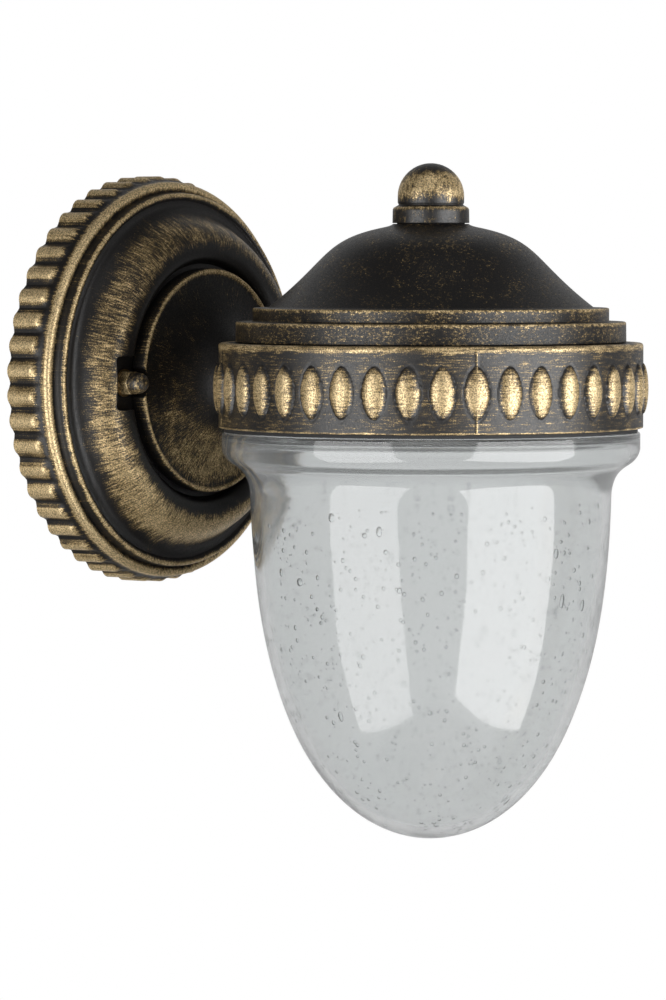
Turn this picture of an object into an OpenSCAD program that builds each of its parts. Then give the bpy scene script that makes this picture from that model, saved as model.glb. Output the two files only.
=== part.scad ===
// Outdoor wall lantern: a round wall plate, a flared arm, a beaded gallery with a domed lid,
// and a closed acorn-shaped glass that screws up into the gallery.
// Frame: the wall is the plane Y = 0, the lantern stands out along -Y, +Z is up, and the
// origin is the centre of the wall plate's back. The arm's axis is the line X = 0, Z = 0.

/* [Wall plate] */
// Radius of the plate over the tips of its ribs
plate_r = 74.7; // [73.5:0.1:76]
// Number of ribs round the plate's rim
rib_count = 50; // [44:2:54]
// Height of a rib above the valleys beside it
rib_h = 1.8; // [1.4:0.1:2]
// Depth of the ribbed rim, from the wall to the rib tips
rim_d = 12; // [10:0.5:12.5]
// Distance from the arm's axis to each fixing stud
stud_x = 45; // [44.5:0.1:45.5]

/* [Arm] */
// Distance from the wall to the lantern's vertical axis
reach = 133; // [131:0.5:140]
// Outer radius of the arm's neck
neck_r = 14.5; // [13:0.5:14.5]

/* [Gallery] */
// Outer radius of the gallery's plain band
gallery_r = 75.1; // [74.8:0.1:75.6]
// Number of oval beads round the gallery
bead_count = 40; // [36:1:42]
// Height of one bead
bead_tall = 18; // [14:0.5:20]
// Width of one bead
bead_w = 8.8; // [7:0.2:9]
// Height of a bead above the band
bead_h = 2; // [1.5:0.1:2.4]

/* [Lid] */
// Radius of the lid's lower step
step_low_r = 69; // [68.5:0.1:69.5]
// Radius of the lid's upper step
step_high_r = 63; // [62.5:0.1:63.5]
// Radius of the finial's ball
ball_r = 11.75; // [11.5:0.05:12]

/* [Glass] */
// Wall thickness of the glass
glass_t = 3.6; // [3:0.1:4]
// Distance of the glass's lowest point below the arm's axis
glass_bottom = 161; // [158:1:166]

/* [Hidden] */

facets = 96;          // fragments on the large rounds
fine = 48;            // fragments on the small rounds
past = 1;             // how far a cutter runs past the face that it cuts
axis_y = -reach;      // where the lantern's vertical axis stands

// Wall plate, as radius and height above the wall
valley_r = plate_r - rib_h;
rib_r = 4.2;
seat_h = 30;          // the face that the arm's disc sits on
seat_t = 3;
pocket_floor = 29.5;  // the face that the dome nuts' washers sit on
pocket_out = 53;
pocket_in = 38;
pocket_half = 9.7;
spot_r = 6.9;
plate_back_r = 69.8;
gasket_h = 3;
cable_way_r = 12;

// Bracket and fixings
bracket_t = 2;
bracket_w = 20;
bracket_half = 54;
bracket_disc_r = 26;
slot_x = 30;
slot_r = 2.6;
slot_len = 12;
stud_r = 2.5;
stud_top = 36;
nut_washer_t = 0.8;
nut_base = pocket_floor + nut_washer_t;
nut_flats = 8;
nut_hex_h = 4;
nut_dome_r = 3.75;
nut_h = 10;
earth_x = -17;
earth_z = -9;
earth_washer_t = 1;
grommet_z = -14;
grommet_r = 7;
cable_r = 4;

// Arm
disc_wall_r = 40.9;
disc_crest = [39.9, 35.6];
flare_start = [38.4, 34.9];
neck_end = 54;
arm_screw_ring = 28;
arm_screw_turns = [90, 210, 330];
arm_screw_r = 2;
nipple_r = 5;
nipple_bore = 3.5;
nipple_start = 43;
nipple_end = 67.4;
nipple_fit = 5.1;
nipple_nut_t = 3;
nipple_washer_t = 0.8;
boss_face = 63;

// Gallery, as radius and height on the lantern's vertical axis
gallery_top = 15;
gallery_low = -15;
band_in = 72;
flange_in = 60;
flange_t = 3;
thread_in = 66.4;
thread_top = -8.6;
lug_x = 61.5;
lug_r = 4;
lug_low = 6;
casting_turn = 2.6;   // degrees that the bead pattern is turned from the arm

// Bridge and lampholder
bridge_t = 2;
bridge_w = 14;
bridge_foot = 4;
bridge_seat = 34;
bridge_knee = 44;
bridge_flat = 26;
bridge_end = 65.4;
earth_hole_x = 20;
holder_low = -9.5;
holder_wide_r = 19.5;
holder_narrow_r = 14;
holder_step = 24;
holder_screw_x = 11;
shell_in = 13.35;
shell_t = 0.45;
shell_low = -8.8;
shell_top = 15;
contact_z = 16.4;
pillar_top = 46;

// Lid and finial
lid_low = 15.3;
dome_start = [13, 56.4];
pad_r = 13.6;         // the raised ring of the lid that the finial's collar stands over
pad_in = 12.5;
pad_top = 56.9;
dome_end = [57.5, 27.5];
lid_roof = 53.2;
lid_hole_r = 4.4;
finial_low = 57.2;
collar_r = 13.6;
thread_end = 65.2;    // the top of the tapped hole in the finial
ball_z = 66.55;
m8_r = 4;
stud_low = 36.3;
clip_z = 51.6;
clip_t = 1;
clip_groove_r = 3.4;

// Glass
glass_top = -16.4;
glass_rim_r = 74.1;
glass_neck_r = 65.2;
glass_ridge_r = 66;
glass_neck_top = -9;
rim_under = -18.4;    // underside of the glass's rim, inside the shade

// Leads: each one's route, from the terminal block through the arm to the lampholder
lead_r = 1;
lead_sides = 8;

function blend(p, t) =
    pow(1 - t, 3) * p[0] + 3 * t * pow(1 - t, 2) * p[1]
    + 3 * t * t * (1 - t) * p[2] + pow(t, 3) * p[3];
function curve(p, n) = [for (i = [0:n]) blend(p, i / n)];
function arc(c, r, a0, a1, n) =
    [for (i = [0:n]) let (a = a0 + (a1 - a0) * i / n) c + r * [cos(a), sin(a)]];
function back_to_front(p) = [for (i = [len(p) - 1:-1:0]) p[i]];
function shifted(p, d) = [for (q = p) q + d];

// Turns what is drawn about +Z so that its axis points out of the wall, along -Y
module out_of_wall(h = 0) {
    translate([0, -h, 0]) rotate([90, 0, 0]) children();
}
// Moves what is drawn about +Z onto the lantern's vertical axis
module on_axis(z = 0) {
    translate([0, axis_y, z]) children();
}
module both_sides(x) {
    for (side = [-1, 1]) translate([side * x, 0, 0]) children();
}
module turned(outline) {
    rotate_extrude($fn = facets) polygon(outline);
}
module tube(r_out, r_in, h) {
    difference() {
        cylinder(r = r_out, h = h, $fn = fine);
        translate([0, 0, -past]) cylinder(r = r_in, h = h + 2 * past, $fn = fine);
    }
}
module hexagon(flats, h) {
    cylinder(r = flats / sqrt(3), h = h, $fn = 6);
}
module slot(length, r, h) {
    both_sides(length / 2 - r) cylinder(r = r, h = h, $fn = fine);
    translate([-(length / 2 - r), -r, 0]) cube([length - 2 * r, 2 * r, h]);
}
// A pan-head screw along +Z: its head stands below z = 0 and its shank above
module pan_screw(r, length, head_r, head_h) {
    difference() {
        union() {
            cylinder(r = r, h = length, $fn = fine);
            translate([0, 0, -head_h])
                cylinder(r1 = head_r * 0.8, r2 = head_r, h = head_h * 0.4, $fn = fine);
            translate([0, 0, -head_h * 0.6]) cylinder(r = head_r, h = head_h * 0.6, $fn = fine);
        }
        for (turn = [0, 90]) rotate([0, 0, turn])
            translate([-head_r * 0.55, -0.4, -head_h - past])
                cube([head_r * 1.1, 0.8, past + head_h * 0.5]);
    }
}

// --- On the wall ---

module wall_bracket() color("silver") {
    difference() {
        union() {
            translate([-bracket_half, -bracket_t, -bracket_w / 2])
                cube([2 * bracket_half, bracket_t, bracket_w]);
            out_of_wall() cylinder(r = bracket_disc_r, h = bracket_t, $fn = facets);
        }
        both_sides(slot_x) out_of_wall(-past) slot(slot_len, slot_r, bracket_t + 2 * past);
        both_sides(stud_x) out_of_wall(-past) cylinder(r = stud_r, h = bracket_t + 2 * past, $fn = fine);
        translate([0, 0, grommet_z]) out_of_wall(-past)
            cylinder(r = grommet_r, h = bracket_t + 2 * past, $fn = fine);
        translate([earth_x, 0, earth_z]) out_of_wall(-past)
            cylinder(r = arm_screw_r, h = bracket_t + 2 * past, $fn = fine);
    }
}

module bracket_studs() color("gainsboro") {
    both_sides(stud_x) out_of_wall() cylinder(r = stud_r, h = stud_top, $fn = fine);
}

module earth_screw() color("gold") {
    translate([earth_x, -bracket_t - earth_washer_t, earth_z]) rotate([-90, 0, 0]) {
        pan_screw(arm_screw_r, bracket_t + earth_washer_t, 4, 2.2);
        tube(5, arm_screw_r, earth_washer_t);
    }
}

// The rubber ring that the supply cable comes in through
module cable_grommet() color("dimgray") {
    translate([0, 0, grommet_z]) out_of_wall() {
        difference() {
            union() {
                cylinder(r = grommet_r, h = bracket_t, $fn = fine);
                translate([0, 0, bracket_t])
                    cylinder(r1 = grommet_r + 2, r2 = grommet_r - 1, h = 3, $fn = fine);
            }
            translate([0, 0, -past]) cylinder(r = cable_r, h = bracket_t + 3 + 2 * past, $fn = fine);
        }
    }
}

module wall_gasket() color("dimgray") {
    out_of_wall() tube(plate_back_r, plate_back_r - 4.5, gasket_h);
}

// --- Wall plate ---

ring_a = [70.6, 15.2];
ring_a_r = 2;
ring_b = [67.2, 19.7];
ring_b_r = 1.4;
dish_low = [64.4, 20.6];
dish_rise = [dish_low, [59, 20.9], [58.4, 34.4], [48.6, 34.4]];
dish_fall = [[48.6, 34.4], [45.4, 34.4], [43.4, 33], [42.9, seat_h]];

module plate_outside() {
    turned(concat(
        [[0, 0], [valley_r, 0], [valley_r, rim_d + 1.4]],
        arc(ring_a, ring_a_r, -12, 128, 7),
        [[68.9, 17]],
        arc(ring_b, ring_b_r, -8, 140, 6),
        curve(dish_rise, 14),
        curve(dish_fall, 5),
        [[0, seat_h]]));
}

module plate_hollow() {
    turned(concat(
        [[0, -past], [plate_back_r, -past], [plate_back_r, gasket_h], [plate_back_r - 1.2, gasket_h],
            [plate_back_r - 1.2, 12], [64.5, 16.6]],
        shifted(curve(dish_rise, 8), [-3.2, -3.6]),
        [[44, seat_h - seat_t], [0, seat_h - seat_t]]));
}

module plate_ribs() {
    for (i = [0:rib_count - 1]) rotate([0, 0, (i + 0.5) * 360 / rib_count])
        translate([plate_r - rib_r, 0, 0]) {
            cylinder(r = rib_r, h = rim_d - 1.6, $fn = fine);
            translate([0, 0, rim_d - 1.6]) cylinder(r1 = rib_r, r2 = rib_r - 1.9, h = 2.4, $fn = fine);
        }
}

module back_plate() color([0.30, 0.26, 0.20]) {
    out_of_wall() difference() {
        union() {
            difference() {
                union() {
                    plate_outside();
                    plate_ribs();
                }
                plate_hollow();
            }
            intersection() {
                plate_outside();
                both_sides(47) translate([-10, -12.5, pocket_floor - 3]) cube([20, 25, 9]);
            }
        }
        both_sides((pocket_out + pocket_in) / 2) nut_pocket();
        both_sides(stud_x) {
            translate([0, 0, pocket_floor]) cylinder(r = spot_r, h = 9, $fn = fine);
            translate([0, 0, pocket_floor - 9]) cylinder(r = stud_r + 0.25, h = 10, $fn = fine);
        }
        translate([0, 0, seat_h - 9]) cylinder(r = cable_way_r, h = 12, $fn = fine);
        for (turn = arm_screw_turns) rotate([0, 0, turn]) translate([arm_screw_ring, 0, seat_h - 9])
            cylinder(r = arm_screw_r, h = 12, $fn = fine);
    }
}

// The square-ended recess round a dome nut
module nut_pocket() {
    half_x = (pocket_out - pocket_in) / 2;
    translate([-half_x, -pocket_half, pocket_floor]) cube([2 * half_x, 2 * pocket_half, 9]);
}

module nut_washers() color("dimgray") {
    both_sides(stud_x) out_of_wall(pocket_floor) tube(5, stud_r, nut_washer_t);
}

module dome_nuts() color([0.42, 0.36, 0.26]) {
    both_sides(stud_x) out_of_wall(nut_base) difference() {
        union() {
            intersection() {
                hexagon(nut_flats, nut_hex_h);
                turned([[0, 0], [4.2, 0], [4.7, 0.4], [4.7, nut_hex_h - 0.6], [3.9, nut_hex_h],
                    [0, nut_hex_h]]);
            }
            turned(concat([[0, nut_hex_h - 1], [nut_dome_r, nut_hex_h - 1]],
                arc([0, nut_h - nut_dome_r], nut_dome_r, 0, 90, 8)));
        }
        translate([0, 0, -past]) cylinder(r = stud_r, h = stud_top - nut_base + past, $fn = fine);
    }
}

// --- Arm ---

arm_flare = [flare_start, [27, 35.6], [neck_r, 41], [neck_r, 51]];

module arm() color([0.14, 0.13, 0.12]) {
    out_of_wall() difference() {
        turned(concat(
            [[0, seat_h], [disc_wall_r, seat_h], [disc_wall_r, 34.2], [disc_wall_r - 0.4, 35.2],
                disc_crest, [39.1, 35.4]],
            curve(arm_flare, 12),
            [[neck_r, neck_end], [0, neck_end]]));
        turned(concat(
            [[0, seat_h - past], [21, seat_h - past]],
            curve([[21, seat_h], [16, 33], [11, 38], [11, 45]], 6),
            [[11, neck_end - 4], [0, neck_end - 4]]));
        cylinder(r = nipple_fit, h = neck_end + past, $fn = fine);
        both_sides(stud_x) cylinder(r = spot_r, h = 60, $fn = fine);
        for (turn = arm_screw_turns) rotate([0, 0, turn]) translate([arm_screw_ring, 0, seat_h - past])
            cylinder(r = arm_screw_r, h = 5, $fn = fine);
    }
}

module arm_screws() color("gainsboro") {
    out_of_wall() for (turn = arm_screw_turns) rotate([0, 0, turn])
        translate([arm_screw_ring, 0, seat_h - seat_t]) pan_screw(arm_screw_r, seat_t + 4, 3.8, 2.4);
}

// The hollow threaded tube that ties the gallery to the arm
module arm_nipple() color("gold") {
    out_of_wall(nipple_start) tube(nipple_r, nipple_bore, nipple_end - nipple_start);
}

module nipple_nuts() color("goldenrod") {
    for (h = [neck_end - 4 - nipple_nut_t, boss_face + nipple_washer_t]) out_of_wall(h) difference() {
        hexagon(14, nipple_nut_t);
        translate([0, 0, -past]) cylinder(r = nipple_r, h = nipple_nut_t + 2 * past, $fn = fine);
    }
}

module nipple_washer() color("gainsboro") {
    out_of_wall(boss_face) tube(8, nipple_r, nipple_washer_t);
}

// --- Wiring in the wall plate ---

block_w = 26;
block_d = 14;
block_h = 16;
block_z = 4;
block_pitch = 8;

module terminal_block() color("white") {
    difference() {
        translate([-block_w / 2, -bracket_t - block_h, block_z]) cube([block_w, block_h, block_d]);
        for (i = [-1:1]) {
            translate([i * block_pitch, -bracket_t - 7, block_z - past])
                cylinder(r = 1.5, h = block_d + 2 * past, $fn = fine);
            translate([i * block_pitch, -bracket_t - 7, block_z + block_d / 2])
                rotate([90, 0, 0]) cylinder(r = 2, h = block_h, $fn = fine);
        }
    }
}

module terminal_screws() color("gainsboro") {
    for (i = [-1:1]) translate([i * block_pitch, -bracket_t - 8.6, block_z + block_d / 2])
        rotate([90, 0, 0]) difference() {
            cylinder(r = 1.9, h = 5, $fn = fine);
            translate([-2.5, -0.35, 4]) cube([5, 0.7, 2]);
        }
}

// --- Gallery ---

// Radius of a bead's spindle at mid height, and how it narrows to meet the band
bead_mid_r = (bead_w * bead_w / 4 + bead_h * bead_h) / (2 * bead_h);
bead_end_r = bead_mid_r - bead_h;
bead_reach = bead_tall / 2 / sqrt(1 - pow(bead_end_r / bead_mid_r, 2));
bead_steps = 8;

module bead() {
    points = [for (i = [-bead_steps:bead_steps]) let (z = 1.04 * bead_tall / 2 * i / bead_steps)
        [bead_mid_r * sqrt(1 - pow(z / bead_reach, 2)), z]];
    rotate_extrude($fn = fine) polygon(concat([[0, points[0][1]]], points, [[0, -points[0][1]]]));
}

module beads() {
    step = 360 / bead_count;
    clear = neck_r + bead_w / 2;
    for (i = [0:bead_count - 1]) {
        from_arm = casting_turn + i * step;
        if (abs(sin(from_arm)) * gallery_r > clear || cos(from_arm) < 0)
            rotate([0, 0, 90 + from_arm]) translate([gallery_r + bead_h - bead_mid_r, 0, 0]) bead();
    }
}

module gallery() color([0.24, 0.21, 0.17]) {
    difference() {
        union() {
            on_axis() {
                turned([[flange_in, gallery_top - flange_t], [band_in, gallery_top - flange_t],
                    [band_in, thread_top], [thread_in, thread_top], [thread_in, gallery_low],
                    [gallery_r - 0.6, gallery_low], [gallery_r, gallery_low + 0.6],
                    [gallery_r, gallery_top - 1.3], [gallery_r - 0.4, gallery_top - 0.4],
                    [gallery_r - 1.3, gallery_top], [flange_in, gallery_top]]);
                intersection() {
                    beads();
                    translate([0, 0, -12]) difference() {
                        cylinder(r = gallery_r + 5, h = 24, $fn = facets);
                        translate([0, 0, -past])
                            cylinder(r = gallery_r - 2, h = 24 + 2 * past, $fn = facets);
                    }
                }
                both_sides(lug_x) translate([0, 0, lug_low]) cylinder(r = lug_r, h = 7, $fn = fine);
            }
            difference() {
                out_of_wall(neck_end) cylinder(r = neck_r, h = 7.5, $fn = facets);
                on_axis(-40) cylinder(r = band_in + 1, h = 80, $fn = facets);
            }
            out_of_wall(neck_end) cylinder(r = 9, h = boss_face - neck_end, $fn = fine);
        }
        out_of_wall(neck_end - past) cylinder(r = nipple_fit, h = boss_face - neck_end + 9, $fn = fine);
        both_sides(lug_x) on_axis(lug_low - past) cylinder(r = 1.5, h = 6, $fn = fine);
    }
}

// --- Inside the gallery and the lid ---

// The hat-shaped strap that carries the lampholder and the finial's pillar
module bridge() color("silver") {
    on_axis() difference() {
        translate([0, bridge_w / 2, 0]) rotate([90, 0, 0]) linear_extrude(bridge_w) polygon([
            [-bridge_end, bridge_foot], [-bridge_knee, bridge_foot], [-bridge_flat, bridge_seat],
            [bridge_flat, bridge_seat], [bridge_knee, bridge_foot], [bridge_end, bridge_foot],
            [bridge_end, bridge_foot + bridge_t], [bridge_knee + 1.2, bridge_foot + bridge_t],
            [bridge_flat + 1.2, bridge_seat + bridge_t], [-bridge_flat - 1.2, bridge_seat + bridge_t],
            [-bridge_knee - 1.2, bridge_foot + bridge_t], [-bridge_end, bridge_foot + bridge_t]]);
        both_sides(lug_x) translate([0, 0, bridge_foot - past])
            cylinder(r = 1.7, h = bridge_t + 2 * past, $fn = fine);
        translate([0, 0, bridge_seat - past]) cylinder(r = 5, h = bridge_t + 2 * past, $fn = fine);
        both_sides(holder_screw_x) translate([0, 0, bridge_seat - past])
            cylinder(r = 1.5, h = bridge_t + 2 * past, $fn = fine);
        translate([earth_hole_x, 0, bridge_seat - past])
            cylinder(r = 1.5, h = bridge_t + 2 * past, $fn = fine);
    }
}

module bridge_screws() color("gainsboro") {
    both_sides(lug_x) on_axis(bridge_foot) pan_screw(1.5, 6, 3, 2);
}

// The tapped pillar that the finial's stud screws into
module finial_pillar() color("gainsboro") {
    on_axis() difference() {
        union() {
            translate([0, 0, bridge_seat]) cylinder(r = 5, h = bridge_t, $fn = fine);
            translate([0, 0, bridge_seat + bridge_t]) hexagon(13, pillar_top - bridge_seat - bridge_t);
        }
        translate([0, 0, bridge_seat + 1]) cylinder(r = m8_r + 0.08, h = 20, $fn = fine);
    }
}

module lampholder_body() color("white") {
    on_axis() difference() {
        turned([[0, holder_low], [holder_wide_r - 1, holder_low], [holder_wide_r, holder_low + 1],
            [holder_wide_r, holder_step - 2], [holder_wide_r - 2, holder_step],
            [holder_narrow_r, holder_step], [holder_narrow_r, bridge_seat - 1],
            [holder_narrow_r - 1, bridge_seat], [0, bridge_seat]]);
        translate([0, 0, holder_low - past])
            cylinder(r = shell_in + shell_t, h = shell_top - holder_low + past, $fn = facets);
        translate([0, 0, shell_top - past]) cylinder(r = 10, h = 6, $fn = facets);
        both_sides(holder_screw_x) translate([0, 0, bridge_seat - 8]) cylinder(r = 1.5, h = 9, $fn = fine);
    }
}

// The screwed shell that takes the lamp's cap; its rolled thread is drawn as a plain tube
module lampholder_shell() color("gold") {
    on_axis(shell_low) difference() {
        cylinder(r = shell_in + shell_t, h = shell_top - shell_low, $fn = facets);
        translate([0, 0, -past]) cylinder(r = shell_in, h = shell_top - shell_low + 2 * past, $fn = facets);
    }
}

// The sprung tongue that presses on the lamp's centre contact
module lampholder_contact() color("gold") {
    on_axis() difference() {
        union() {
            translate([0, 0, contact_z]) cylinder(r1 = 2.5, r2 = 3.2, h = 0.8, $fn = fine);
            translate([0, 0, contact_z + 0.8]) cylinder(r = 6, h = 0.6, $fn = fine);
        }
        translate([0, 0, contact_z + 0.6]) cylinder(r = 1.4, h = 2, $fn = fine);
    }
}

module lampholder_screws() color("gainsboro") {
    both_sides(holder_screw_x) on_axis(bridge_seat + bridge_t) rotate([180, 0, 0])
        pan_screw(1.5, 9, 2.8, 1.8);
}

// --- Leads ---

// Where the three leads lie side by side in the arm, as offsets from its axis
lead_turns = [90, 210, 330];
lead_offset = 1.6;
function in_arm(i) = lead_offset * [cos(lead_turns[i]), sin(lead_turns[i])];

// One lead's points: out of the block, along the arm, up inside the gallery, to its end
function lead_route(i, x_block, finish) = let (o = in_arm(i)) concat(
    [[x_block, -9, 6.5], [x_block, -9, 1.5], [x_block * 0.9, -11, -1.5],
        [x_block * 0.6, -16, -2.5 + o[1] * 0.3], [x_block * 0.2 + o[0] * 0.8, -24, -0.8 + o[1] * 0.8]],
    [for (h = [32:6:68]) [o[0], -h, o[1]]],
    [[o[0] * 1.5, -73, o[1] + 0.6], [o[0] * 1.6, -77.5, o[1] + 3.5]],
    finish);

leads_live = lead_route(1, -8, [[-5, -82, 10], [-6, -92, 20], [-6.5, -103, 27], [-6.5, -113, 30],
    [-6, -121.5, 30]]);
leads_neutral = lead_route(2, 8, [[5, -82, 10], [6, -92, 20], [6.5, -103, 27], [6.5, -113, 30],
    [6, -121.5, 30]]);
leads_earth = lead_route(0, 0, [[4, -81.5, 13], [9, -91, 24], [14, -104, 34], [18, -114, 38.6],
    [20, -120, 38.6], [20, -127.5, 37.5]]);

function unit(v) = v / norm(v);
function side_of(d) = unit(cross(d, [0.31, 0.22, 0.92]));
module lead(route) {
    last = len(route) - 1;
    rings = [for (i = [0:last]) let (
        d = unit(route[min(i + 1, last)] - route[max(i - 1, 0)]),
        u = side_of(d),
        v = cross(d, u))
        for (k = [0:lead_sides - 1]) let (a = k * 360 / lead_sides)
            route[i] + lead_r * (cos(a) * u + sin(a) * v)];
    walls = [for (i = [0:last - 1], k = [0:lead_sides - 1]) let (
        a = i * lead_sides + k,
        b = i * lead_sides + (k + 1) % lead_sides)
        [a, a + lead_sides, b + lead_sides, b]];
    first_cap = [for (k = [0:lead_sides - 1]) k];
    last_cap = [for (k = [lead_sides - 1:-1:0]) last * lead_sides + k];
    polyhedron(concat(rings), concat(walls, [first_cap], [last_cap]));
}

// Extra points on a smooth curve through the route's own points
function through(p, i, t) = let (
    a = p[max(i - 1, 0)], b = p[i], c = p[i + 1], d = p[min(i + 2, len(p) - 1)])
    0.5 * (2 * b + t * (c - a) + t * t * (2 * a - 5 * b + 4 * c - d)
        + t * t * t * (3 * b - a - 3 * c + d));
function smooth(p) = concat(
    [for (i = [0:len(p) - 2], t = [0, 0.34, 0.67]) through(p, i, t)], [p[len(p) - 1]]);

module lead_live() color("saddlebrown") lead(smooth(leads_live));
module lead_neutral() color("royalblue") lead(smooth(leads_neutral));
module lead_earth() color("yellowgreen") lead(smooth(leads_earth));

// The ring tag and screw that earth the metalwork
module earth_tag() color("gold") {
    on_axis() translate([earth_hole_x, 0, bridge_seat + bridge_t]) {
        tube(3.6, 1.5, 0.6);
        translate([-1.2, 3, 0]) cube([2.4, 4, 0.6]);
        translate([0, 0, 0.6]) rotate([180, 0, 0]) pan_screw(1.5, 4, 2.8, 1.8);
    }
}

// --- Lid and finial ---

dome = [dome_start, [39, 51.87], [34.37, 45.45], dome_end];

module lid() color([0.15, 0.14, 0.12]) {
    on_axis() difference() {
        turned(concat(
            [[0, dome_start[1]], [pad_in, dome_start[1]], [pad_in, pad_top], [pad_r - 0.2, pad_top],
                [pad_r + 0.3, pad_top - 0.4], [pad_r + 1.4, dome_start[1] - 0.3]],
            [for (p = curve(dome, 18)) if (p[0] > pad_r + 2) p],
            [[step_high_r - 5, 27.3], [step_high_r - 0.5, 27.3], [step_high_r, 26.8], [step_high_r, 23.5],
                [step_high_r + 0.5, 22.8], [step_low_r - 0.6, 22.4], [step_low_r, 21.8],
                [step_low_r + 0.1, lid_low], [0, lid_low]]));
        turned(concat(
            [[0, lid_roof], [10, lid_roof]],
            shifted(curve(dome, 10), [-2.4, -3.3]),
            [[56, 23.9], [59.6, 23.9], [60.2, 19.4], [66, 19.4], [66, lid_low - past],
                [0, lid_low - past]]));
        translate([0, 0, lid_roof - past]) cylinder(r = lid_hole_r, h = 9, $fn = fine);
    }
}

module lid_gasket() color("dimgray") {
    on_axis(gallery_top + 0.05) tube(65.9, 62.4, 19.4 - gallery_top - 0.05);
}

module finial() color([0.40, 0.34, 0.24]) {
    on_axis() difference() {
        turned(concat(
            [[0, finial_low], [collar_r, finial_low], [collar_r, 61.2], [13.2, 62.2], [12.5, 62.8],
                [11.9, 63.3], [11.4, 63.8], [ball_r, 64.4]],
            arc([0, ball_z], ball_r, 0, 90, 12)));
        translate([0, 0, finial_low - past])
            cylinder(r = m8_r, h = thread_end - finial_low + past, $fn = fine);
    }
}

module finial_stud() color("gainsboro") {
    on_axis() turned([[0, stud_low], [m8_r - 0.6, stud_low], [m8_r, stud_low + 0.6], [m8_r, clip_z],
        [clip_groove_r, clip_z], [clip_groove_r, clip_z + clip_t], [m8_r, clip_z + clip_t],
        [m8_r, thread_end], [0, thread_end]]);
}

module finial_washer() color("dimgray") {
    on_axis(dome_start[1] + 0.05) tube(12, m8_r, finial_low - dome_start[1] - 0.05);
}

// The spring clip that keeps the finial's stud captive in the lid
module stud_clip() color("darkgray") {
    on_axis(clip_z) difference() {
        cylinder(r = 7.5, h = clip_t, $fn = fine);
        translate([0, 0, -past]) cylinder(r = clip_groove_r, h = clip_t + 2 * past, $fn = fine);
        translate([0, -1.2, -past]) cube([10, 2.4, clip_t + 2 * past]);
    }
}

// --- Glass ---

module glass_gasket() color("dimgray") {
    on_axis(glass_top + 0.15) tube(73.2, 67, gallery_low - glass_top - 0.3);
}

shoulder = [[glass_rim_r, -22.6], [72.26, -30.21], [65.56, -26.5], [64.1, -37.6]];
barrel = [[64.1, -37.6], [62.32, -glass_bottom * 0.854], [24.78, -glass_bottom], [0, -glass_bottom]];
shoulder_in = [[70.6, -22.4], [69.4, -28.8], [62.2, -27.4], [64.1 - glass_t, -38.2]];
barrel_in = [[64.1 - glass_t, -38.2], [62.2 - glass_t, -glass_bottom * 0.84],
    [23, glass_t - glass_bottom], [0, glass_t - glass_bottom]];

module glass_shade() color([0.80, 0.88, 0.90, 0.4]) {
    on_axis() turned(concat(
        [[glass_neck_r - glass_t, glass_neck_top], [glass_neck_r, glass_neck_top],
            [glass_neck_r, -9.8], [glass_ridge_r, -10.6], [glass_neck_r, -11.4],
            [glass_neck_r, -12.8], [glass_ridge_r, -13.6], [glass_neck_r, -14.4],
            [glass_neck_r, glass_top], [glass_rim_r - 0.8, glass_top], [glass_rim_r, glass_top - 0.8]],
        curve(shoulder, 9),
        curve(barrel, 24),
        back_to_front(curve(barrel_in, 24)),
        back_to_front(curve(shoulder_in, 8)),
        [[70.4, -20.2], [69.9, rim_under - 0.9], [69, rim_under], [glass_neck_r - glass_t + 1, rim_under],
            [glass_neck_r - glass_t, rim_under + 0.9]]));
}

wall_bracket();
bracket_studs();
earth_screw();
cable_grommet();
wall_gasket();
back_plate();
nut_washers();
dome_nuts();
arm();
arm_screws();
terminal_block();
terminal_screws();
arm_nipple();
nipple_nuts();
nipple_washer();
gallery();
bridge();
bridge_screws();
finial_pillar();
lampholder_body();
lampholder_shell();
lampholder_contact();
lampholder_screws();
lead_live();
lead_neutral();
lead_earth();
earth_tag();
lid();
lid_gasket();
finial();
finial_stud();
finial_washer();
stud_clip();
glass_gasket();
glass_shade();
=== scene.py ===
"""Looks of the outdoor wall lantern: antique dry-brushed castings and a seeded acorn glass.

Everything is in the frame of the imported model: the wall is Y = 0, the lantern stands out along
-Y and +Z is up. Sizes and outlines of the pieces are written in millimetres and scaled by MM
where a mesh is made. The camera, the lamps and the floor are placed in metres.
"""
import math
import random

import bmesh
import bpy
import numpy as np
from mathutils import Matrix, Vector


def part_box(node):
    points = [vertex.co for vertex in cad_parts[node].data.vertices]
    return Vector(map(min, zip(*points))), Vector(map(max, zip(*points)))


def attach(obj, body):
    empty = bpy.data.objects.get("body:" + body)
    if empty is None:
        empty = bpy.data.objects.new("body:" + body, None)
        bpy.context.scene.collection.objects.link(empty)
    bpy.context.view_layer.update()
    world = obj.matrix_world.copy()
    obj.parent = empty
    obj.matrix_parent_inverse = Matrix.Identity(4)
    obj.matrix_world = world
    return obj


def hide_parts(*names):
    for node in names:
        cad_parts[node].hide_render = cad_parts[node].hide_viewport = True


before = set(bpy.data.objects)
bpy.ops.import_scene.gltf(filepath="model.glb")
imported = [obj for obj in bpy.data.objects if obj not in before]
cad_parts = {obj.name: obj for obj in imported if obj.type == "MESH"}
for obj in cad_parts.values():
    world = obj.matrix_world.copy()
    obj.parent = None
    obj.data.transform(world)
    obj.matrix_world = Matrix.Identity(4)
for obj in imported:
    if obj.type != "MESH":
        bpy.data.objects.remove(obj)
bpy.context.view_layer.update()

MM = 0.001
TAU = 2 * math.pi


# ---------------------------------------------------------------- places shared by pieces

finial_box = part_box("finial")
AXIS_Y = 0.5 * (finial_box[0][1] + finial_box[1][1])   # the lantern's vertical axis, in metres
WALL_CENTRE = (0, 0, 0)     # the arm's axis at the wall
LANTERN_CENTRE = (0, AXIS_Y, 0)
SEAT_H = 30                 # height over the wall of the arm's seat on the plate
NECK_END = 54               # and of the end of its neck
STUD_X = 45                 # the two studs stand this far left and right of the arm's axis


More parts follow.
